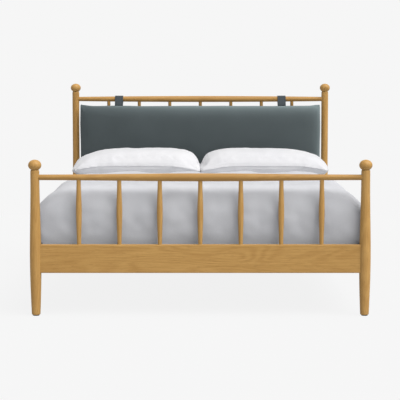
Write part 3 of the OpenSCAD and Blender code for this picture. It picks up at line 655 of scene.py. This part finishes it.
def inflate(piece, pressure, cap, held=(), grown=(), growth=0.0, stiffness=0.5, frames=20):
    """Runs a cloth simulation on a soft piece, and lets no point move further than cap.

    Held points stay where they are, and the cloth is cut larger by growth at the grown ones.
    """
    start = mesh_points(piece.data)
    cover = piece.modifiers.new("cloth", "CLOTH")
    cover.settings.use_pressure = pressure > 0
    cover.settings.uniform_pressure_force = pressure
    cover.settings.shrink_max = -growth
    cover.settings.bending_stiffness = stiffness
    cover.settings.effector_weights.gravity = 0
    cover.settings.quality = 5
    if held:
        group = piece.vertex_groups.new(name="held")
        group.add(held, 1, "REPLACE")
        cover.settings.vertex_group_mass = group.name
    if grown:
        group = piece.vertex_groups.new(name="grown")
        group.add(grown, 1, "REPLACE")
        cover.settings.vertex_group_shrink = group.name
    for step in range(1, frames + 1):
        bpy.context.scene.frame_set(step)
    graph = bpy.context.evaluated_depsgraph_get()
    moved = mesh_points(piece.evaluated_get(graph).data) - start
    piece.modifiers.clear()
    far = np.linalg.norm(moved, axis=1)[:, None] + 1e-9
    moved *= cap * np.tanh(far / cap) / far
    piece.data.vertices.foreach_set("co", (start + moved).ravel())
    piece.data.update()
    bpy.context.scene.frame_set(1)


def corner_creases(mesh, low, high, axes, reach, depth):
    """Presses creases into a soft piece, which fan out from its four corners on a plane of two axes."""
    points = mesh_points(mesh)
    across, up = (np.minimum(points[:, a] - low[a], high[a] - points[:, a]) for a in axes)
    fade = np.exp(-((np.hypot(across, up) / reach - 0.4) / 0.4) ** 2)
    push(mesh, depth * fade * np.cos(8 * np.arctan2(up, across) + 4 * points[:, axes[0]]))


bm = bmesh.new()
bmesh.ops.create_cube(bm, size=1)
bmesh.ops.scale(bm, vec=mattress_high - mattress_low, verts=bm.verts)
bmesh.ops.translate(bm, vec=(mattress_high + mattress_low) / 2, verts=bm.verts)
upright = [e for e in bm.edges if abs((e.verts[0].co - e.verts[1].co).normalized().z) > 0.9]
bmesh.ops.bevel(
    bm, geom=upright, offset=mattress_corner_r, segments=10, profile=0.5, affect="EDGES", material=-1
)
flat = [f for f in bm.faces if abs(f.normal.z) > 0.9]
rims = [e for f in flat for e in f.edges]
bmesh.ops.bevel(bm, geom=rims, offset=mattress_edge_r, segments=6, profile=0.5, affect="EDGES", material=-1)
sheet_cotton = cloth(
    "sheet_cotton", colour(224, 225, 228), colour(211, 213, 217),
    thread=0.0007, relief_depth=0.0002, sheen=0.1,
)
mattress = finish_mesh("sheeted_mattress", bm, sheet_cotton, sharp=1.2)
remesh(mattress, voxel=0.012)
soften(mattress.data, depth=0.004, size=0.22, seed=6.1)
corner_creases(mattress.data, mattress_low, mattress_high, axes=(0, 1), reach=0.24, depth=0.0025)
keep_within(mattress.data, mattress_low, mattress_high)
cloth_uv(mattress.data)
corner_seams = []
for sx in (-1, 1):
    for sy in (-1, 1):
        middle = (mattress_low + mattress_high) / 2
        reach = (mattress_high - mattress_low) / 2
        tip = mattress_corner_r * (1 - math.sqrt(0.5))
        corner_seams.append([
            Vector((middle.x + sx * (reach.x - tip), middle.y + sy * (reach.y - tip), z))
            for z in np.arange(mattress_low.z, mattress_high.z, seam_step)
        ])
mark_seams(mattress.data, corner_seams)
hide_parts("mattress")
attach(mattress, "frame")

# Duvet
# A filled cotton duvet that covers the foot half of the mattress. It is tucked in
# behind the foot rail and the side rails, and its far edge is a plain rounded hem.
duvet_low, duvet_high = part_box("duvet")
tuck_z = duvet_low.z
front_y = duvet_low.y
hem_y = duvet_high.y
cover_half_w = duvet_high.x
swell_z = 0.485
shoulder_z = 0.612
tuck_t = 0.006
free_z = rail_top_z + 0.002
side_t = 0.040
side_lean = 0.004
side_power = 30
side_round = 0.200
front_tuck = 0.011
front_tuck_power = 1.6
front_round = 0.150
front_power = 0.32
rise_power = 1.7
corner_r = 0.045
corner_tuck = 0.031
corner_power = 12
hem_round = 0.012
least_fill = 0.006
full_fill = 0.020
lining_gap = 0.001
crease_depth = 0.003
puff_depth = 0.004
wrinkle_depth = 0.0042
hem_wave = 0.006
flare_out = 0.009
flare_back = 0.36
fold_in = 0.007
fold_back = 0.54
side_cols = 84
corner_cols = 16
front_cols = 110
low_rows = 18
round_rows = 26
white_cotton = cloth(
    "white_cotton", colour(214, 214, 217), colour(199, 200, 205),
    thread=0.0005, relief_depth=0.0002, sheen=0.15,
)


def cover_ring(level):
    """Half width, foot face, corner radius and height of the duvet's ring at a level from 0 to 2.

    It rises straight out of the tuck up to level 1, and rounds over onto the top from there.
    """
    if level <= 1:
        z = tuck_z + (swell_z - tuck_z) * level
        free = max(0, (z - free_z) / (swell_z - free_z))
        tucked = (side_t - tuck_t - side_lean) * (1 - free) ** side_power
        return (
            cover_half_w - tucked - side_lean * (1 - free),
            front_y + front_tuck * (1 - free) ** front_tuck_power,
            corner_r - corner_tuck * (1 - free) ** corner_power,
            z,
        )
    angle = math.pi / 2 * (level - 1)
    side_in = side_round * (1 - math.cos(angle))
    rise = math.sin(angle) ** rise_power
    return (
        cover_half_w - side_in,
        front_y + front_round * (1 - max(0, 1 - rise ** 2) ** front_power),
        corner_r + side_in / 2,
        swell_z + (shoulder_z - swell_z) * rise,
    )


def cover_outline(ring, hem):
    """Plan points of a ring: up the left side, round the foot end and down the right side."""
    half_w, front, radius, z = ring
    left = [(-half_w, hem + (front + radius - hem) * i / side_cols) for i in range(side_cols)]
    left += [
        (-half_w + radius * (1 - math.cos(a)), front + radius * (1 - math.sin(a))) for a in arc(corner_cols)
    ]
    right = [(-x, y) for x, y in reversed(left)]
    start, stop = left[-1][0], right[0][0]
    middle = [(start + (stop - start) * i / front_cols, front) for i in range(1, front_cols)]
    return [Vector((x, y, z)) for x, y in left + middle + right]


levels = [i / low_rows for i in range(low_rows)]
levels += [2 - (1 - i / round_rows) ** 2 for i in range(round_rows + 1)]
bm = bmesh.new()
ring_verts = [bm.verts.new(p) for p in cover_outline(cover_ring(levels[0]), hem_y - hem_round)]
ring_edges = [bm.edges.new(pair) for pair in zip(ring_verts, ring_verts[1:])]
for level in levels[1:]:
    grown = bmesh.ops.extrude_edge_only(bm, edges=ring_edges)["geom"]
    new_verts = {v for v in grown if isinstance(v, bmesh.types.BMVert)}
    ring_edges = [e for e in grown if isinstance(e, bmesh.types.BMEdge) and set(e.verts) <= new_verts]
    next_verts = [
        next(e.other_vert(v) for e in v.link_edges if e.other_vert(v) in new_verts) for v in ring_verts
    ]
    for vert, place in zip(next_verts, cover_outline(cover_ring(level), hem_y - hem_round)):
        vert.co = place
    ring_verts = next_verts
side_points = side_cols + corner_cols
rungs = [bm.edges.new((ring_verts[i], ring_verts[-1 - i])) for i in range(side_points)]
for i in range(side_points - 1):
    bm.faces.new((ring_verts[i], ring_verts[i + 1], ring_verts[-2 - i], ring_verts[-1 - i]))
bmesh.ops.subdivide_edges(bm, edges=rungs, cuts=front_cols - 1, use_grid_fill=True)
bmesh.ops.recalc_face_normals(bm, faces=bm.faces)


def on_mattress(place, gap):
    """The nearest point to place that lies that far outside the mattress's rounded form."""
    reach_x, reach_y = mattress_high.x - mattress_corner_r, mattress_high.y - mattress_corner_r
    foot_y = mattress_low.y + mattress_corner_r
    top = mattress_high.z - mattress_edge_r
    core = Vector((min(reach_x, max(-reach_x, place.x)), min(reach_y, max(foot_y, place.y)), 0))
    out = Vector((place.x - core.x, place.y - core.y, 0))
    ring = mattress_corner_r - mattress_edge_r
    if out.length > ring:
        core += out.normalized() * ring
    else:
        core += out
    core.z = min(top, place.z)
    out = place - core
    if out.length < 1e-6:
        out = Vector((0, 0, 1))
    return core + out.normalized() * (mattress_edge_r + gap)


def duvet_folds(place):
    """How far the duvet swells at a place: puffs on its top, creases down its sides, and wrinkles."""
    around = place.x if place.y < front_y + 0.10 else place.y
    fall = 1 - smooth_step((place.z - 0.46) / 0.15)
    creases = noise.noise(Vector((around * 7.5, place.z * 1.3, 3.1)))
    creases += 0.5 * noise.noise(Vector((around * 17 + place.z * 3, place.z * 2.2, 8.4)))
    puffs = noise.noise(Vector((place.x * 3.2, place.y * 3.2, 1.7)))
    puffs += 0.45 * noise.noise(Vector((place.x * 8, place.y * 6, 5.2)))
    wrinkles = noise.noise(Vector((place.x * 14, place.y * 10, place.z * 10 + 2.6)))
    wrinkles += 0.6 * noise.noise(Vector((place.x * 24, place.y * 18, place.z * 20 + 7.9)))
    return crease_depth * creases * fall + puff_depth * puffs * (1 - fall) + wrinkle_depth * wrinkles


def hem_fold(place):
    """How the duvet moves near its hem: the hem waves, and each side has a fold and flares beside it."""
    back = hem_y - place.y
    top = smooth_step((place.z - 0.56) / 0.04)
    wave = math.cos(2 * math.pi * (place.x + 0.43) / 0.34 + 0.9 * math.sin(4 * place.x))
    side = smooth_step((abs(place.x) - 0.60) / 0.08) * smooth_step((place.z - 0.42) / 0.08)
    flare = flare_out * math.exp(-((back - flare_back) / 0.09) ** 2)
    flare -= fold_in * math.exp(-((back - fold_back) / 0.07) ** 2)
    out = Vector((math.copysign(0.8, place.x), 0, 0.6))
    return out * flare * side + Vector((0, 0, hem_wave * wave * top * math.exp(-((back / 0.12) ** 2))))


sheet = finish_mesh("draped", bm.copy(), white_cotton, sharp=3)
held = [v.index for v in sheet.data.vertices if v.co.z < rail_top_z + 0.015 or v.co.y > hem_y - 0.02]
grown = [v.index for v in sheet.data.vertices if v.co.z > 0.59 and v.co.y < hem_y - 0.12]
inflate(sheet, pressure=0.10, cap=0.006, held=held, grown=grown, growth=0.010, stiffness=5)
for vert, place in zip(bm.verts, mesh_points(sheet.data)):
    vert.co = place
    if (vert.co - on_mattress(vert.co, 0)).length < least_fill and vert.co.z > rail_top_z:
        vert.co = on_mattress(vert.co, least_fill)
bpy.data.meshes.remove(sheet.data)
bm.normal_update()
moves = []
for vert in bm.verts:
    hold = smooth_step((vert.co.z - rail_top_z) / 0.05) * smooth_step((hem_y - hem_round - vert.co.y) / 0.03)
    room = min(1, (vert.co - on_mattress(vert.co, 0)).length / full_fill)
    moves.append(vert.normal * duvet_folds(vert.co) * hold * room + hem_fold(vert.co))
for vert, move in zip(bm.verts, moves):
    vert.co += move
hem_verts = [v for v in bm.verts if v.co.y > hem_y - hem_round - 1e-5]
hem_verts.sort(key=lambda v: math.atan2(v.co.z - tuck_z + 0.02, v.co.x))

outside = list(bm.faces)
rim = [e for e in bm.edges if e.is_boundary]
hem_line = [vert.co.copy() for vert in hem_verts]
lined = bmesh.ops.duplicate(bm, geom=list(bm.verts) + list(bm.edges) + outside)
lining_faces = [g for g in lined["geom"] if isinstance(g, bmesh.types.BMFace)]
lining_verts = [g for g in lined["geom"] if isinstance(g, bmesh.types.BMVert)]
for vert in lining_verts:
    vert.co = on_mattress(vert.co, lining_gap)
bmesh.ops.reverse_faces(bm, faces=lining_faces)
lining_rim = [g for g in lined["geom"] if isinstance(g, bmesh.types.BMEdge) and g.is_boundary]
bridge = bmesh.ops.bridge_loops(bm, edges=rim + lining_rim)["faces"]
rims = set(rim) | set(lining_rim)
across = list({e for f in bridge for e in f.edges if e not in rims})
outer, inner = (search_tree([v.co.copy() for e in edges for v in e.verts]) for edges in (rim, lining_rim))
strip = bmesh.ops.subdivide_edges(bm, edges=across, cuts=6, use_grid_fill=True)["geom_inner"]
for vert in strip:
    if isinstance(vert, bmesh.types.BMVert) and vert.co.y > hem_y - hem_round - 0.001:
        gap_out, gap_in = outer.find(vert.co)[2], inner.find(vert.co)[2]
        share = (gap_out - gap_in) / (gap_out + gap_in)
        vert.co.y += hem_round * math.sqrt(max(0, 1 - share ** 2))
bmesh.ops.recalc_face_normals(bm, faces=bm.faces)
duvet = finish_mesh("white_duvet", bm, white_cotton, sharp=3)
cloth_uv(duvet.data)
mark_seams(duvet.data, [hem_line])
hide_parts("duvet")
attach(duvet, "duvet_cover")

# Pillows
# Two filled pillows in white cotton cases lie loose side by side, below the hanging
# cushion. Each case is sewn round, and the two press together at their inner ends.
pillow_seam_h = 0.080
pillow_voxel = 0.008
pillow_press = 0.008
inner_fill = 0.75
inner_reach = 0.08
corner_pull = 0.06
side_bow = 0.035
seam_droop = 0.45
fold_seed = {"left": 4.2, "right": 9.6}
pillow_cotton = cloth(
    "pillow_cotton", colour(227, 226, 227), colour(216, 216, 220),
    thread=0.0005, relief_depth=0.0002, sheen=0.15,
)


def soft_copy(node_name, name, material, inset):
    """A merged copy of a soft node's solid, drawn in a little along its normals."""
    bm = bmesh.new()
    bm.from_mesh(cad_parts[node_name].data)
    bmesh.ops.remove_doubles(bm, verts=bm.verts, dist=1e-5)
    bmesh.ops.recalc_face_normals(bm, faces=bm.faces)
    bm.normal_update()
    for vert in bm.verts:
        vert.co -= vert.normal * inset
    return finish_mesh(name, bm, material, sharp=3)


def fit_to(piece, low, high):
    """Stretches a soft piece a little so that it fills the box from low to high."""
    points = mesh_points(piece.data)
    least, most = points.min(0), points.max(0)
    points = (points - least) / (most - least) * np.array(high - low) + np.array(low)
    piece.data.vertices.foreach_set("co", points.ravel())
    piece.data.update()


def smoothed(piece):
    modifier = piece.modifiers.new("smooth", "SUBSURF")
    modifier.levels = 1
    modifier.render_levels = 1


def rim_line(shape, steps=120):
    """Points round the four sides of a padded form's seam, from a shape of two values in -1..1."""
    share = [2 * i / steps - 1 for i in range(steps)]
    corners = [(u, -1) for u in share] + [(1, v) for v in share]
    corners += [(-u, 1) for u in share] + [(-1, -v) for v in share]
    return [Vector(shape(u, v)) for u, v in corners + corners[:1]]


def pillow_seam(middle, low, high):
    """The seam of a pillow: its corners are drawn in, and it droops at both ends."""
    half = (high - low) / 2

    def shape(u, v):
        return (
            middle.x + half.x * u * (1 - corner_pull * v ** 4 * abs(u)),
            middle.y + half.y * v * (1 - side_bow * (1 - u * u) * abs(v)),
            low.z + pillow_seam_h * (1 - seam_droop * u ** 4),
        )

    return rim_line(shape)


def fill_inner_end(mesh, inner_x, seam_z):
    """Fills a pillow out below its seam, at the end that lies against the other pillow."""
    points = mesh_points(mesh)
    under = np.clip((seam_z - points[:, 2]) / 0.02, 0, 1)
    near = np.clip(1 - np.abs(inner_x - points[:, 0]) / inner_reach, 0, 1)
    points[:, 0] += (inner_x - points[:, 0]) * inner_fill * under * near
    mesh.vertices.foreach_set("co", points.ravel())


for side in ("left", "right"):
    low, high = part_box(f"pillow_{side}")
    pillow = soft_copy(f"pillow_{side}", f"white_pillow_{side}", pillow_cotton, inset=0.004)
    remesh(pillow, pillow_voxel)
    mark_seams(pillow.data, [pillow_seam((low + high) / 2, low, high)])
    inflate(pillow, pressure=4, cap=0.006)
    soften(pillow.data, depth=0.005, size=0.11, seed=fold_seed[side])
    corner_creases(pillow.data, low, high, axes=(0, 1), reach=0.13, depth=0.004)
    soften(pillow.data, depth=0.0025, size=0.045, seed=7.7)
    sew(pillow.data, ridge=0.004, channel=0.003, width=0.006)
    pillow.data.materials.clear()
    pillow.data.materials.append(pillow_cotton)
    if side == "left":
        fill_inner_end(pillow.data, high.x, low.z + pillow_seam_h)
        high.x += pillow_press
    else:
        fill_inner_end(pillow.data, low.x, low.z + pillow_seam_h)
        low.x -= pillow_press
    fit_to(pillow, low, high)
    cloth_uv(pillow.data)
    smoothed(pillow)
    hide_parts(f"pillow_{side}")
    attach(pillow, f"{side}_pillow")

# Hanging cushion
# A padded back cushion in slate-grey cotton hangs in front of the head spindles. Its
# cover is sewn round, with a small ear at each corner. Its front has painted light:
# lighter along its top edge and at its right end, and a little lighter to the right.
cushion_ear = 0.012
ear_rise = 0.008
end_spare = 0.002
seam_draw = 0.002
edge_taper = 0.55
cushion_voxel = 0.008
end_bow = 0.004
painted_light_top = 0.010
# The lighter colour is painted light for the cushion's top edge and right end.
slate_cotton = cloth(
    "slate_cotton", colour(79, 88, 90), colour(63, 71, 73),
    thread=0.0011, relief_depth=0.0004, sheen=0.5, faded=colour(131, 145, 146),
)
cushion = soft_copy("headboard_cushion", "slate_back_cushion", slate_cotton, inset=0.002)
cushion_low, cushion_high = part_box("headboard_cushion")
middle = (cushion_low + cushion_high) / 2
half = (cushion_high - cushion_low) / 2


def cushion_seam(u, v):
    """The seam of the cushion, which draws in between its four ears."""
    return (
        middle.x + half.x * u - seam_draw * math.copysign(u ** 8, u) * (1 - v ** 10),
        middle.y,
        middle.z + half.z * v - cushion_ear * math.copysign(v ** 8, v),
    )


def flatten_ears(mesh):
    """Thins the padding towards the cushion's edges, and draws its four ears in."""
    points = mesh_points(mesh)
    edge_x = np.minimum(1, np.abs(points[:, 0] - middle.x) / half.x)
    edge_z = np.minimum(1, np.abs(points[:, 2] - middle.z) / half.z)
    thin = ((1 + edge_z ** 3) * (1 + edge_x ** 11)) ** -edge_taper
    points[:, 1] = middle.y + (points[:, 1] - middle.y) * thin
    points[:, 2] -= cushion_ear * edge_x ** 30 * edge_z ** 8 * np.sign(points[:, 2] - middle.z)
    mesh.vertices.foreach_set("co", points.ravel())


def draw_out_ears(mesh, body_half_h):
    """Bows the cushion's ends, and draws its corners out into ears up to its full height."""
    points = mesh_points(mesh)
    edge_x = np.abs(points[:, 0] - middle.x) / half.x
    edge_z = np.minimum(1, np.abs(points[:, 2] - middle.z) / body_half_h)
    ear = edge_x ** 24 * edge_z ** 8
    rise = np.min((half.z - np.abs(points[:, 2] - middle.z)) / (ear + 1e-9))
    points[:, 0] += np.sign(points[:, 0]) * end_bow * (1 - edge_z ** 4) * edge_x ** 4
    points[:, 2] += rise * ear * np.sign(points[:, 2] - middle.z)
    mesh.vertices.foreach_set("co", points.ravel())
    mesh.update()


def mark_painted_light(mesh):
    """Marks the painted light on the cushion's front: most at its top, more to the right and at that end."""
    points = mesh_points(mesh)
    below = np.maximum(0, cushion_high.z - painted_light_top - points[:, 2])
    inward = np.maximum(0, cushion_high.x - points[:, 0])
    across = np.clip((points[:, 0] - cushion_low.x) / (2 * half.x), 0, 1)
    faded = np.exp(-below / 0.027) * np.minimum(1, 0.3 + across * 1.4)
    faded += 0.5 * np.exp(-inward / 0.014) + 0.13 * np.exp(-inward / 0.10) + 0.06 * across
    faded = np.minimum(1, faded) * (points[:, 1] < middle.y)
    mesh.attributes.new("faded", "FLOAT", "POINT").data.foreach_set("value", faded)


flatten_ears(cushion.data)
remesh(cushion, cushion_voxel)
mark_seams(cushion.data, [rim_line(cushion_seam)])
inflate(cushion, pressure=4, cap=0.005)
soften(cushion.data, depth=0.003, size=0.16, seed=2.7)
corner_creases(cushion.data, cushion_low, cushion_high, axes=(0, 2), reach=0.09, depth=0.0025)
sew(cushion.data, ridge=0.0025, channel=0.002)
cushion.data.materials.clear()
cushion.data.materials.append(slate_cotton)
body_trim = Vector((-end_spare, 0, ear_rise))
fit_to(cushion, cushion_low + body_trim, cushion_high - body_trim)
draw_out_ears(cushion.data, half.z - body_trim.z)
cloth_uv(cushion.data)
# Marks where the painted light goes.
mark_painted_light(cushion.data)
smoothed(cushion)
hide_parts("headboard_cushion")
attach(cushion, "cushion")

# Cushion straps
# Two flat straps of webbing in the same colour loop over the head top rail and are
# sewn into the cushion's top seam.
strap_rim = 0.0007
strap_end_h = 0.003
strap_in_seam = 0.008
strap_strips = 8
strap_webbing = cloth(
    "strap_webbing", colour(74, 81, 85), colour(60, 66, 70),
    thread=0.0016, relief_depth=0.0005, sheen=0.2,
)
for side in ("left", "right"):
    low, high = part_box(f"cushion_strap_{side}")
    bm = bmesh.new()
    bm.from_mesh(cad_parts[f"cushion_strap_{side}"].data)
    bmesh.ops.remove_doubles(bm, verts=bm.verts, dist=1e-5)
    for x in np.linspace(low.x, high.x, strap_strips + 1)[1:-1]:
        geom = list(bm.verts) + list(bm.edges) + list(bm.faces)
        bmesh.ops.bisect_plane(bm, geom=geom, plane_co=(x, 0, 0), plane_no=(1, 0, 0))
    for vert in bm.verts:
        if vert.co.z < low.z + strap_end_h:
            vert.co.z -= strap_in_seam
    rims = [e for e in bm.edges if e.calc_face_angle(0) > 1]
    bmesh.ops.bevel(
        bm, geom=rims, offset=strap_rim, segments=2, profile=0.5, affect="EDGES", material=-1
    )
    strap = finish_mesh(f"slate_strap_{side}", bm, strap_webbing, sharp=0.9)
    cloth_uv(strap.data)
    away = strap.data.attributes.new("seam_away", "FLOAT", "POINT")
    along = strap.data.attributes.new("seam_along", "FLOAT", "POINT")
    for vert in strap.data.vertices:
        away.data[vert.index].value = min(vert.co.x - low.x, high.x - vert.co.x)
        along.data[vert.index].value = vert.co.z + vert.co.y
    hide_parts(f"cushion_strap_{side}")
    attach(strap, "cushion")

# Floor, light and camera
# A plain pale floor that fades into the background, one large soft light from the
# right, and a camera that looks from the foot, a little down.
backdrop = colour(246, 246, 246)
floor_size = 60
floor_fade_start = 2.0
floor_fade_end = 4.5
floor_glow = 0.94


def stage_floor():
    bm = bmesh.new()
    bmesh.ops.create_grid(bm, x_segments=1, y_segments=1, size=floor_size)
    material = bpy.data.materials.new("floor_pale")
    material.use_nodes = True
    tree = material.node_tree
    tree.nodes.remove(tree.nodes["Principled BSDF"])
    place = node(tree, "ShaderNodeTexCoord").outputs["Object"]
    distance = node(tree, "ShaderNodeVectorMath", {0: place}, operation="LENGTH").outputs["Value"]
    far = ramp(tree, distance, floor_fade_start, floor_fade_end)
    glow_share = math_node(tree, "MAXIMUM", far, floor_glow)
    seen = math_node(tree, "MULTIPLY", glow_share, seen_directly(tree))
    shade = mixed(tree, seen_directly(tree), colour(190, 190, 190), colour(236, 236, 236))
    lit = node(tree, "ShaderNodeBsdfDiffuse", {"Color": shade})
    glow = node(tree, "ShaderNodeEmission", {"Color": backdrop, "Strength": 1})
    both = node(tree, "ShaderNodeMixShader", {0: seen, 1: lit.outputs[0], 2: glow.outputs[0]})
    tree.links.new(both.outputs[0], tree.nodes["Material Output"].inputs["Surface"])
    floor = finish_mesh("floor", bm, material)


def seen_directly(tree):
    """1 for what the camera sees, also in a reflection or through glass, and 0 for other light."""
    path = node(tree, "ShaderNodeLightPath")
    seen = math_node(tree, "MAXIMUM", path.outputs["Is Camera Ray"], path.outputs["Is Glossy Ray"])
    return math_node(tree, "MAXIMUM", seen, path.outputs["Is Transmission Ray"])


stage_floor()

world = bpy.data.worlds.new("studio")
bpy.context.scene.world = world
world.use_nodes = True
tree = world.node_tree
ambient = tree.nodes["Background"]
ambient.inputs["Color"].default_value = (1, 1, 1, 1)
ambient.inputs["Strength"].default_value = 0.25
behind = node(tree, "ShaderNodeBackground", {"Color": backdrop, "Strength": 1})
inputs = {0: seen_directly(tree), 1: ambient.outputs[0], 2: behind.outputs[0]}
both = node(tree, "ShaderNodeMixShader", inputs)
tree.links.new(both.outputs[0], tree.nodes["World Output"].inputs["Surface"])

sun = bpy.data.lights.new("soft_key", "SUN")
sun.energy = 3.3
sun.angle = math.radians(52)
lamp = bpy.data.objects.new("soft_key", sun)
key_azimuth, key_height = math.radians(50), math.radians(57)
from_key = Vector((
    math.sin(key_azimuth) * math.cos(key_height), -math.cos(key_azimuth) * math.cos(key_height),
    math.sin(key_height),
))
lamp.rotation_euler = from_key.to_track_quat("Z", "Y").to_euler()
bpy.context.scene.collection.objects.link(lamp)

lens = bpy.data.cameras.new("photo_view")
lens.lens = 118
lens.sensor_width = 36
lens.shift_x = -0.00075
lens.clip_end = 100
camera = bpy.data.objects.new("photo_view", lens)
camera.location = (0, -7.16, 1.0365)
camera.rotation_euler = (math.radians(90 - 4.57), 0, 0)
bpy.context.scene.collection.objects.link(camera)
bpy.context.scene.camera = camera
bpy.context.scene.view_settings.view_transform = "Standard"
